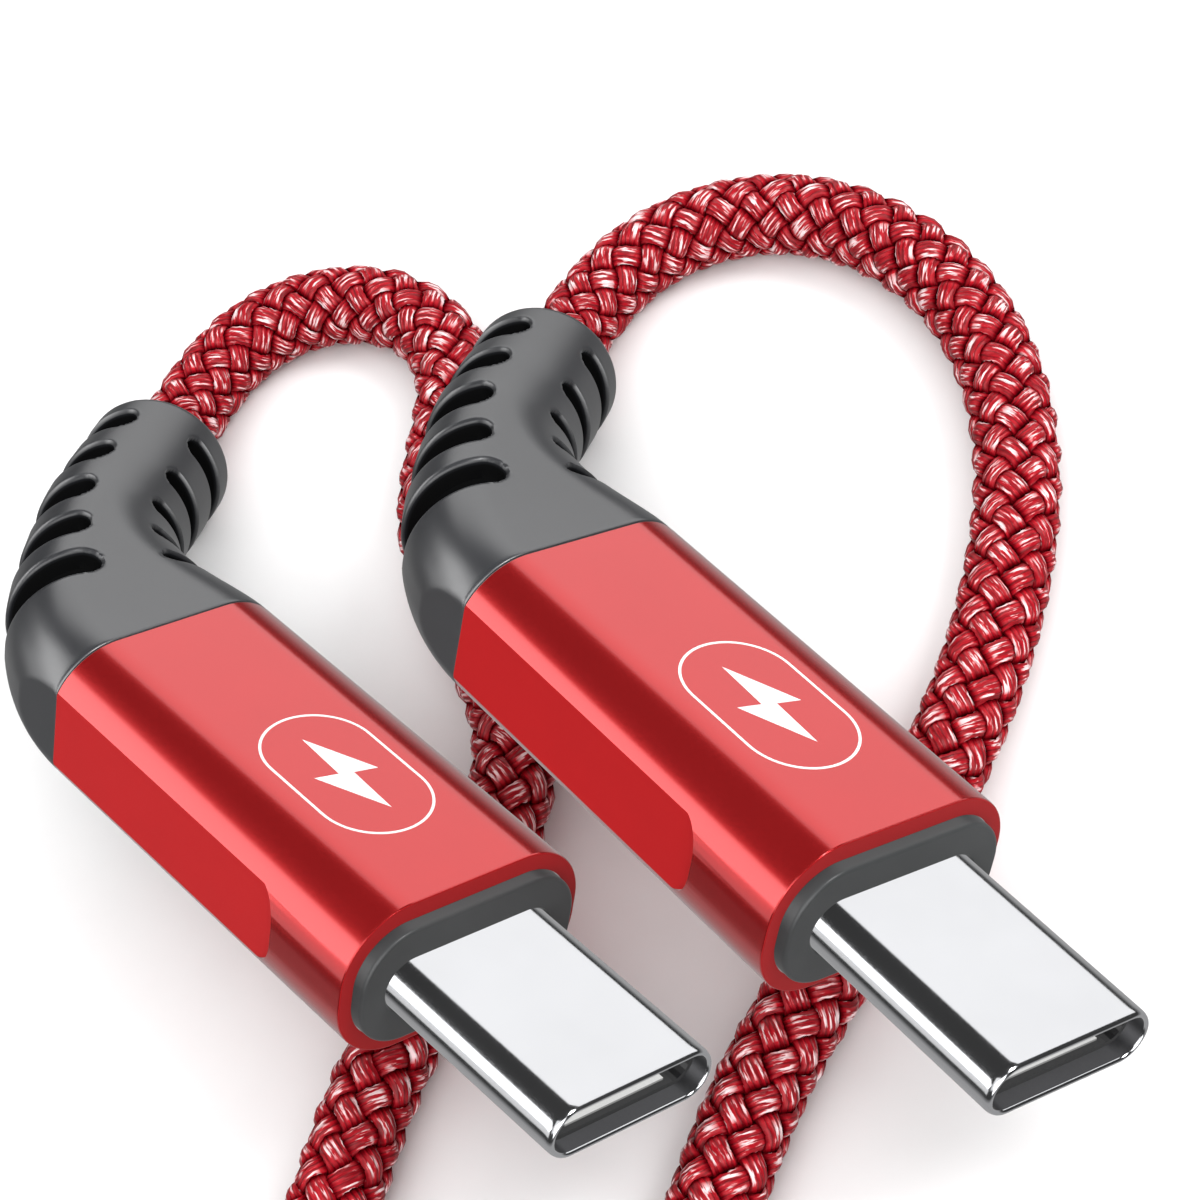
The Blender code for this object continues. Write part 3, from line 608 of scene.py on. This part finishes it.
def arc_from_middle(points, width, height, corner):
    """Each outline point's run round the outline from the middle of the top or bottom."""
    y, z = np.abs(points).T
    flat_y, flat_z = width / 2 - corner, height / 2 - corner
    turned = np.arctan2(np.maximum(y - flat_y, 0), np.maximum(z - flat_z, 0) + 1e-9)
    return np.where(y < flat_y, y, flat_y + corner * turned)


def groove_mask(distance, run, outer):
    """How far into a groove each point is, 0 to 1, run being its distance round from the middle."""
    half, tip = GROOVE_OUTER if outer else GROOVE_INNER
    best = np.zeros(len(run))
    for centre in GROOVES:
        before = np.maximum(0.0, tip + half - run)
        far = np.sqrt((distance - centre) ** 2 + before ** 2) / half
        best = np.maximum(best, 1 - ease((far - 0.60) / 0.40))
    return best


def make_boot(letter, matrix):
    """Satin rubber boot: a dense loft that turns sideways, grooved round its outer and inner sides."""
    verts, groove = [], []
    rings = 0

    def add_ring(distance, width, height, corner, push=0.0, marks=None):
        nonlocal rings
        points, normals = outline(width, height, corner, BOOT_SIDES)
        if marks is None:
            marks = np.zeros(BOOT_SIDES)
        points = points - normals * marks[:, None] * GROOVE_DEPTH
        x0, y0, turn = boot_line(max(distance, 0.0))
        side = np.array([sin(turn), cos(turn)])
        xy = np.array([x0 + push, y0]) + points[:, :1] * side
        xy[:, 1] = np.maximum(xy[:, 1], -(SLEEVE_W / 2 - FACET_DEPTH))
        verts.extend(matrix @ Vector((x * MM, y * MM, z * MM)) for (x, y), z in zip(xy, points[:, 1]))
        groove.extend(marks)
        rings += 1

    for push, inset in ((BOOT_PLUG_IN, BOOT_NECK), (0.0, BOOT_NECK), (0.0, 0.10)):
        add_ring(*station(0.0, SLEEVE_W, SLEEVE_H, SLEEVE_R, inset), push=push)
    for distance in np.concatenate(([0.03, 0.08], np.arange(0.2, BOOT_LENGTH - BOOT_LIP, BOOT_STEP))):
        section = boot_section(distance)
        points, _ = outline(*section, BOOT_SIDES)
        run = arc_from_middle(points, *section)
        on_outer = points[:, 0] < 0
        marks = np.where(on_outer, groove_mask(distance, run, True), groove_mask(distance, run, False))
        inset = 0.06 * max(0.0, 1 - distance / 0.1)
        add_ring(*station(distance, *section, inset), marks=marks)
    ends = [(BOOT_LENGTH - back, BOOT_END_R - inset) for inset, back in rounded_edge(BOOT_LIP, 8)]
    ends += [
        (BOOT_LENGTH, BOOT_BORE + 0.25), (BOOT_LENGTH - 0.2, BOOT_BORE),
        (BOOT_LENGTH - BOOT_HOLLOW, BOOT_BORE), (BOOT_LENGTH - BOOT_HOLLOW, 0.9),
    ]
    for distance, radius in ends:
        add_ring(distance, 2 * radius, 2 * radius, radius)
    faces = bridge(rings, BOOT_SIDES)
    faces.append(tuple(range(BOOT_SIDES)))
    faces.append(tuple(range((rings - 1) * BOOT_SIDES, rings * BOOT_SIDES)))
    boot = mesh_object(f"boot_shell_{letter}", verts, faces, [RUBBER.mat], floats={"groove": groove},
                       sharp=radians(50))
    fix_normals(boot)
    return boot


def make_emblem(letter, matrix):
    """A plain mark on the upper face: a thin obround outline round a charging bolt."""
    levels = (SLEEVE_H / 2 - EMBLEM_SUNK, SLEEVE_H / 2 + EMBLEM_PROUD)
    verts, faces = [], []

    def add_points(points, z):
        verts.extend(matrix @ Vector(((EMBLEM_X + x) * MM, y * MM, z * MM)) for x, y in points)

    for z in levels:
        add_points(EMBLEM_BOLT, z)
    n = len(EMBLEM_BOLT)
    faces.append(tuple(range(n, 2 * n)))
    faces.append(tuple(range(n - 1, -1, -1)))
    faces.extend((i, (i + 1) % n, n + (i + 1) % n, n + i) for i in range(n))

    reach = EMBLEM_HALF_L - EMBLEM_HALF_W
    rings = []
    for radius in (EMBLEM_HALF_W, EMBLEM_HALF_W - EMBLEM_LINE):
        rows = arc(reach, 0, radius, -90, 180, 32) + arc(-reach, 0, radius, 90, 180, 32)
        rings.append([row[:2] for row in rows])
    start, n = len(verts), len(rings[0])
    for z in levels:
        for points in rings:
            add_points(points, z)
    low_out, low_in, up_out, up_in = (start + k * n for k in range(4))
    for i in range(n):
        j = (i + 1) % n
        faces.append((up_out + i, up_out + j, up_in + j, up_in + i))
        faces.append((low_out + i, low_in + i, low_in + j, low_out + j))
        faces.append((low_out + i, low_out + j, up_out + j, up_out + i))
        faces.append((low_in + j, low_in + i, up_in + i, up_in + j))
    mark = mesh_object(f"emblem_{letter}", verts, faces, [PAINT.mat], smooth=False)
    fix_normals(mark)
    return mark


for letter, matrix in PLUGS.items():
    made = {
        "sleeve": make_sleeve(letter, matrix),
        "collar": make_collar(letter, matrix),
        "tip": make_tip(letter, matrix),
        "boot": make_boot(letter, matrix),
    }
    for part, obj in made.items():
        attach(obj, "cable")
        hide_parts(f"{part}_{letter}")
    mark = make_emblem(letter, matrix)
    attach(mark, "cable")

KEPT = {
    "insert": INSERT, "contacts_upper": GOLD, "contacts_lower": GOLD, "latch_left": SPRING,
    "latch_right": SPRING, "earth_spring_upper": SPRING, "earth_spring_lower": SPRING,
    "circuit_card": BOARD, "marker_chip": CHIP, "resistor": CHIP, "inner_frame_upper": FRAME,
    "inner_frame_lower": FRAME, "jacket": JACKET, "ferrule": FERRULE,
}
for letter in PLUGS:
    for part, look in KEPT.items():
        for holder in frame["nodes"][f"{part}_{letter}"].material_slots:
            holder.material = look.mat
    for word, look in WIRES.items():
        for holder in frame["nodes"][f"wire_{word}_{letter}"].material_slots:
            holder.material = look.mat


# ---------------------------------------------------------------- cord
LINE_STEP = 0.3
KNOT_STEPS = 30


def spline(points):
    """A natural cubic through the points, resampled evenly, in the points' own unit."""
    knots = np.array(points, dtype=float)
    gaps = np.diff(running_length(knots))
    n = len(knots)
    system, right = np.eye(n), np.zeros((n, 3))
    for i in range(1, n - 1):
        system[i, i - 1:i + 2] = gaps[i - 1], 2 * (gaps[i - 1] + gaps[i]), gaps[i]
        right[i] = 6 * ((knots[i + 1] - knots[i]) / gaps[i] - (knots[i] - knots[i - 1]) / gaps[i - 1])
    bends = np.linalg.solve(system, right)
    fine = []
    for i, gap in enumerate(gaps):
        for b in np.linspace(0, 1, KNOT_STEPS, endpoint=False):
            a = 1 - b
            curve = ((a**3 - a) * bends[i] + (b**3 - b) * bends[i + 1]) * gap**2 / 6
            fine.append(a * knots[i] + b * knots[i + 1] + curve)
    fine.append(knots[-1])
    return even(np.array(fine))


def even(points):
    """The same line with its points LINE_STEP apart or a little closer."""
    run = running_length(points)
    marks = np.linspace(0.0, run[-1], int(ceil(run[-1] / LINE_STEP)) + 1)
    return np.column_stack([np.interp(marks, run, points[:, a]) for a in range(3)])


def boot_inside(letter):
    """Points (mm, as the routes are) on the cord's line inside the boot, from inside to the mouth."""
    points = []
    for back in (5.0, 3.4, 1.8, 0.3):
        x, y, _ = boot_line(BOOT_LENGTH - back)
        place = PLUGS[letter] @ Vector((x * MM, y * MM, 0.0))
        points.append(((place.x - SURFACE_POINT.x) / MM, (place.y - SURFACE_POINT.y) / MM, place.z / MM))
    return points


# Angles round the coil are in degrees, and run backwards from COIL_START as the cord winds on.
COIL_START = 88.0
TIE_ANGLE, TIE_PINCH = -46.0, 14.0
LAYER_MIDDLE, PINCH_UP, PINCH_DOWN = 3.9, 0.40, 0.25


def degrees_apart(a, b):
    return (a - b + 180.0) % 360.0 - 180.0


def coil_points():
    """The unseen length: turns outwards to inwards on the surface, then a second layer back outwards."""
    out, mid, inn, low, high = 26.7, 22.8, 18.9, 1.92, 5.78
    turns = [
        (0, 322, out, out, low, low), (322, 360, out, mid, low, low), (360, 682, mid, mid, low, low),
        (682, 720, mid, inn, low, low), (720, 1004, inn, inn, low, low), (1004, 1042, inn, inn, low, high),
        (1042, 1326, inn, inn, high, high), (1326, 1364, inn, mid, high, high),
        (1364, 1686, mid, mid, high, high), (1686, 1724, mid, out, high, high),
        (1724, 2046, out, out, high, high),
    ]
    points = []
    for start, end, r0, r1, z0, z1 in turns:
        for angle in np.arange(start, end, 2.0):
            t = ease((angle - start) / (end - start))
            radius, height = r0 + (r1 - r0) * t, z0 + (z1 - z0) * t
            at = radians(COIL_START - angle)
            # The strap pinches the layers together where it goes round them.
            pinch = ease(1 - abs(degrees_apart(COIL_START - angle, TIE_ANGLE) / TIE_PINCH))
            height += PINCH_UP * pinch if height < LAYER_MIDDLE else -PINCH_DOWN * pinch
            points.append((COIL_CENTRE[0] + radius * cos(at), COIL_CENTRE[1] + radius * sin(at), height))
    return points


# The outermost strands reach past the stated radius, so the whole line is lifted by this much.
BRAID_REST = 0.09
SMOOTHING = 3

coil = coil_points()
lead_a = boot_inside("a") + ROUTE_A + coil[0:12:4]
lead_b = coil[-12::4] + list(reversed(ROUTE_B)) + list(reversed(boot_inside("b")))
first, last = spline(lead_a), spline(lead_b)
centre = even(np.vstack([first[:-1], np.array(coil[9:-9]), last[1:]]))
for _ in range(SMOOTHING):
    centre[1:-1] = (centre[:-2] + 2 * centre[1:-1] + centre[2:]) / 4
centre += (SURFACE_POINT.x / MM, SURFACE_POINT.y / MM, BRAID_REST)
run = running_length(centre)
TOTAL = run[-1]

# A frame that is carried along the line without twisting.
tangent = np.gradient(centre, axis=0)
tangent /= np.linalg.norm(tangent, axis=1)[:, None]
upright = np.zeros_like(centre)
upright[0] = np.cross(tangent[0], (0, 0, 1))
upright[0] /= np.linalg.norm(upright[0])
for k in range(1, len(centre)):
    carried = upright[k - 1] - tangent[k] * np.dot(upright[k - 1], tangent[k])
    upright[k] = carried / np.linalg.norm(carried)
across = np.cross(tangent, upright)


def along_cord(table, at):
    return np.stack([np.interp(at, run, table[:, a]) for a in range(3)], axis=-1)


# The braid: this many strands each way, their mean radius, and the length in which one goes round once.
STRANDS = 6
MEAN_R = 1.70
STRAND_LEAD = 11.0
OMEGA = 2 * pi / STRAND_LEAD
SLOPE = atan2(MEAN_R * OMEGA, 1.0)
STRAND_W = 2 * pi * MEAN_R / STRANDS * cos(SLOPE) * 1.02
PERIOD = STRAND_LEAD / STRANDS
# How far strands pass over and under, how square that wave is, and the rise of a strand's own section.
LIFT, WAVE_POWER = 0.15, 0.75
DOME_TOP, DOME_FALL, DOME_POWER = 0.15, 0.34, 2.2
# Keep the streaks of neighbouring strands apart in the texture.
STRAND_SHIFT, WAY_SHIFT = 37.0, 500.0
# Step along the cord and quads across a strand, where the camera sees it and where it doesn't.
SEEN_GRID, COIL_GRID = (PERIOD / 6, 4), (PERIOD / 4, 3)
CORE_R, CORE_STEP, CORE_SIDES = 1.36, 1.2, 12


def strand_patch(start, end, step, quads):
    """All twelve strands between two distances along the cord, as vertices, faces, uv and lift."""
    steps = max(2, int(round((end - start) / step)) + 1)
    s = np.linspace(start, end, steps)
    w = np.linspace(-1, 1, quads + 1) * STRAND_W / 2
    grid = np.arange(steps * (quads + 1)).reshape(steps, quads + 1)
    cells = np.stack([grid[:-1, :-1], grid[1:, :-1], grid[1:, 1:], grid[:-1, 1:]], axis=-1).reshape(-1, 4)
    wave = np.cos(STRANDS * OMEGA * s)
    shaped = np.sign(wave) * np.abs(wave) ** WAVE_POWER
    dome = DOME_TOP - DOME_FALL * np.abs(2 * w / STRAND_W) ** DOME_POWER
    verts, faces, uvs, lifts = [], [], [], []
    for way in (1, -1):
        lift = shaped * way
        for index in range(STRANDS):
            theta = way * OMEGA * s + 2 * pi * index / STRANDS
            at = s[:, None] - way * w[None, :] * sin(SLOPE)
            turn = theta[:, None] + w[None, :] * cos(SLOPE) / MEAN_R
            radius = MEAN_R + LIFT * lift[:, None] + dome[None, :]
            clipped = np.clip(at, 0, TOTAL)
            side, top = along_cord(upright, clipped), along_cord(across, clipped)
            outward = np.cos(turn)[..., None] * side + np.sin(turn)[..., None] * top
            place = along_cord(centre, clipped) + radius[..., None] * outward
            u = np.broadcast_to(np.linspace(0, 1, quads + 1)[None, :], at.shape)
            v = s / cos(SLOPE) + STRAND_SHIFT * index + (WAY_SHIFT if way < 0 else 0.0)
            v = np.broadcast_to(v[:, None], at.shape)
            faces.append(cells + len(verts) * grid.size)
            verts.append(place.reshape(-1, 3))
            uvs.append(np.stack([u, v], axis=-1).reshape(-1, 2))
            lifts.append(np.broadcast_to(lift[:, None], at.shape).ravel())
    return np.vstack(verts), np.vstack(faces), np.vstack(uvs), np.concatenate(lifts)


def quad_mesh(name, verts, faces, mat, uv=None, floats=None):
    """A smooth mesh from arrays, all quads: faster than mesh_object, with uv as one pair for each vertex."""
    mesh = bpy.data.meshes.new(name)
    mesh.vertices.add(len(verts))
    mesh.vertices.foreach_set("co", np.asarray(verts, dtype=np.float32).ravel())
    mesh.loops.add(faces.size)
    mesh.loops.foreach_set("vertex_index", faces.ravel().astype(np.int32))
    mesh.polygons.add(len(faces))
    mesh.polygons.foreach_set("loop_start", (np.arange(len(faces)) * 4).astype(np.int32))
    mesh.polygons.foreach_set("use_smooth", [True] * len(faces))
    mesh.materials.append(mat)
    if uv is not None:
        layer = mesh.uv_layers.new(name="lie")
        layer.data.foreach_set("uv", np.asarray(uv, dtype=np.float32)[faces.ravel()].ravel())
    add_floats(mesh, floats or {})
    mesh.update(calc_edges=True)
    mesh.validate()
    return link_object(name, mesh)


def make_braid():
    """The woven sleeve over the whole cord, finer where the camera sees it than on the coil."""
    run_a, run_b = (float(np.sum(np.linalg.norm(np.diff(line, axis=0), axis=1))) for line in (first, last))
    patches = [
        strand_patch(0.0, run_a, *SEEN_GRID),
        strand_patch(run_a, TOTAL - run_b, *COIL_GRID),
        strand_patch(TOTAL - run_b, TOTAL, *SEEN_GRID),
    ]
    verts, faces, uvs, lifts = zip(*patches)
    starts = np.cumsum([0] + [len(v) for v in verts[:-1]])
    faces = np.vstack([part + start for part, start in zip(faces, starts)])
    return quad_mesh("braid", np.vstack(verts) * MM, faces, BRAID.mat, np.vstack(uvs),
                     {"lift": np.concatenate(lifts)})


def make_core():
    """The inner cable that shows between the strands, coloured near black as painted shade under the braid.
    """
    marks = np.linspace(0, TOTAL, int(TOTAL / CORE_STEP))
    side, top = (along_cord(table, marks)[:, None, :] for table in (upright, across))
    turn = (np.arange(CORE_SIDES) / CORE_SIDES * 2 * pi)[None, :, None]
    rings = along_cord(centre, marks)[:, None, :] + CORE_R * (np.cos(turn) * side + np.sin(turn) * top)
    faces = np.array(bridge(len(marks), CORE_SIDES))
    return quad_mesh("braid_core", rings.reshape(-1, 3) * MM, faces, CORE.mat)


braid = make_braid()
core = make_core()
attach(braid, "cable")
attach(core, "cable")
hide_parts("cord_a", "cord_b", "cord_coil")


# ---------------------------------------------------------------- tie round the coil
# Distances from the coil's middle to its inner and outer side, then the strap's own sizes.
TIE_INNER, TIE_OUTER, TIE_CLEAR = 16.9, 28.7, 0.35
TIE_THICK, TIE_HALF, TIE_EDGE, TIE_CORNER, TIE_CROWN = 0.55, 3.0, 0.12, 2.2, 0.04
# The points of the strap's path that its loose end covers.
TIE_LAP = slice(14, 27)


def make_tie():
    """A hook-and-loop strap round the coil's section, its end lapped over the top."""
    _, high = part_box("coil_tie")
    angle = radians(TIE_ANGLE)
    out = Vector((cos(angle), sin(angle), 0.0))
    swing = Vector((-sin(angle), cos(angle), 0.0))
    middle = Vector((SURFACE_POINT.x / MM + COIL_CENTRE[0], SURFACE_POINT.y / MM + COIL_CENTRE[1], 0.0))
    x0, x1 = TIE_INNER - TIE_CLEAR, TIE_OUTER + TIE_CLEAR
    z0, z1 = TIE_THICK / 2, high[2] / MM - TIE_THICK / 2
    path = []
    for cx, cz, start in ((x1 - TIE_CORNER, z0 + TIE_CORNER, -90), (x1 - TIE_CORNER, z1 - TIE_CORNER, 0),
                          (x0 + TIE_CORNER, z1 - TIE_CORNER, 90), (x0 + TIE_CORNER, z0 + TIE_CORNER, 180)):
        path += arc(cx, cz, TIE_CORNER, start, 90, 12)
    inner = TIE_HALF - TIE_EDGE
    face = TIE_THICK / 2
    section = ((-TIE_HALF, 0), (-inner, face), (0, face + TIE_CROWN), (inner, face),
               (TIE_HALF, 0), (inner, -face), (0, -face), (-inner, -face))
    verts, faces = [], []

    def add_strap(rows, lift):
        start, sides = len(verts), len(section)
        for r, z, nr, nz in rows:
            for sideways, thick in section:
                reach = r + nr * (thick + lift)
                height = max(z + nz * (thick + lift), 0.01)
                verts.append((middle + out * reach + swing * sideways + Vector((0, 0, height))) * MM)
        faces.extend(tuple(start + i for i in quad) for quad in bridge(len(rows), sides))
        faces.append(tuple(range(start, start + sides)))
        faces.append(tuple(range(len(verts) - 1, len(verts) - 1 - sides, -1)))

    add_strap(path + path[:1], 0.0)
    add_strap(path[TIE_LAP], TIE_THICK * 0.95)
    tie = mesh_object("strap", verts, faces, [STRAP.mat])
    fix_normals(tie)
    return tie


tie = make_tie()
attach(tie, "cable")
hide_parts("coil_tie")


# ---------------------------------------------------------------- floor, light, camera
FLOOR_REACH = 0.46
AIM = Vector((0.010, 0.0, 0.006))
# Name, direction from AIM, distance, width, height (metres), radiance, and the rays that don't see it.
LIGHTS = [
    ("wall_light", (-0.60, 0.78, 0.30), 0.70, 1.10, 0.42, 1.15, None),
    ("side_strip", (-0.603, -0.55, 0.577), 0.60, 0.70, 0.25, 2.4, "diffuse"),
    ("key", (0.45, 0.62, 0.80), 0.60, 0.24, 0.24, 9.0, None),
    ("front", (0.80, -0.45, 0.60), 0.70, 0.75, 0.75, 2.6, None),
    ("top_fill", (0.0, 0.0, 1.0), 0.80, 1.30, 1.30, 2.0, "glossy"),
    ("low_strip", (-0.603, -0.76, 0.24), 0.62, 0.70, 0.24, 0.8, "diffuse"),
    ("side_card", (0.22, -0.60, 0.77), 0.62, 0.34, 0.55, 1.0, "diffuse"),
]
# World strength above the horizon, below it, and where the camera sees it.
AMBIENT, UNDERSIDE, BACKDROP = 0.045, 0.40, 0.95
# The direction's z where the light from below is full, and where it has faded to the ambient light.
BELOW, LEVEL = -0.45, -0.15
CAMERA_AT = (0.084151, -0.018158, 0.117182)
CAMERA_RIGHT = (0.59395, 0.74817, -0.29576)
CAMERA_UP = (-0.53216, 0.64108, 0.55301)
CAMERA_BACK = (0.60335, -0.17107, 0.77891)
CAMERA_LENS, CAMERA_SENSOR = 99.0, 36.0  # millimetres


def make_floor():
    verts = [(x * FLOOR_REACH, y * FLOOR_REACH, 0) for x, y in ((-1, -1), (1, -1), (1, 1), (-1, 1))]
    look = grained("floor_card", (0.86, 0.86, 0.86), 0.75, spec=0.2, grain=1500, vary=0.01, strength=0.05)
    floor = mesh_object("floor", verts, [(0, 1, 2, 3)], [look.mat], smooth=False)


def softbox(name, direction, distance, width, height, radiance, hidden_from):
    """A flat light that faces the object from that direction; radiance is what a mirror would show."""
    data = bpy.data.lights.new(name, "AREA")
    data.shape = "RECTANGLE"
    data.size, data.size_y = width, height
    data.energy = radiance * pi * width * height
    obj = link_object(name, data)
    toward = Vector(direction).normalized()
    obj.location = AIM + toward * distance
    obj.rotation_euler = toward.to_track_quat("Z", "Y").to_euler()
    if hidden_from:
        setattr(obj, f"visible_{hidden_from}", False)


def make_world():
    """A pale backdrop for the camera only, and for the rest a dim sky over a brighter ground."""
    world = bpy.data.worlds.new("studio")
    world.use_nodes = True
    tree = world.node_tree
    backdrop = tree.nodes["Background"]
    backdrop.inputs["Color"].default_value = (1, 1, 1, 1)
    seen = tree.nodes.new("ShaderNodeLightPath")
    strength = tree.nodes.new("ShaderNodeMapRange")
    direction = tree.nodes.new("ShaderNodeTexCoord")
    split = tree.nodes.new("ShaderNodeSeparateXYZ")
    below = tree.nodes.new("ShaderNodeMapRange")
    for key, value in (("From Min", BELOW), ("From Max", LEVEL), ("To Min", UNDERSIDE), ("To Max", AMBIENT)):
        below.inputs[key].default_value = value
    strength.inputs["To Max"].default_value = BACKDROP
    tree.links.new(direction.outputs["Generated"], split.inputs[0])
    tree.links.new(split.outputs["Z"], below.inputs["Value"])
    tree.links.new(below.outputs[0], strength.inputs["To Min"])
    tree.links.new(seen.outputs["Is Camera Ray"], strength.inputs["Value"])
    tree.links.new(strength.outputs[0], backdrop.inputs["Strength"])
    bpy.context.scene.world = world


def make_camera():
    """The camera solved from the photo."""
    data = bpy.data.cameras.new("camera")
    data.lens = CAMERA_LENS
    data.sensor_width = CAMERA_SENSOR
    data.clip_start = 0.005
    camera = link_object("camera", data)
    turn = Matrix((CAMERA_RIGHT, CAMERA_UP, CAMERA_BACK)).transposed().to_4x4()
    camera.matrix_world = Matrix.Translation(CAMERA_AT) @ turn
    bpy.context.scene.camera = camera


make_floor()
# Metal shows the lights, and not the floor or its neighbours.
for piece in bpy.data.objects:
    if piece.type == "MESH":
        piece.visible_glossy = False
for light in LIGHTS:
    softbox(*light)
make_world()
make_camera()
bpy.context.scene.view_settings.view_transform = "Standard"
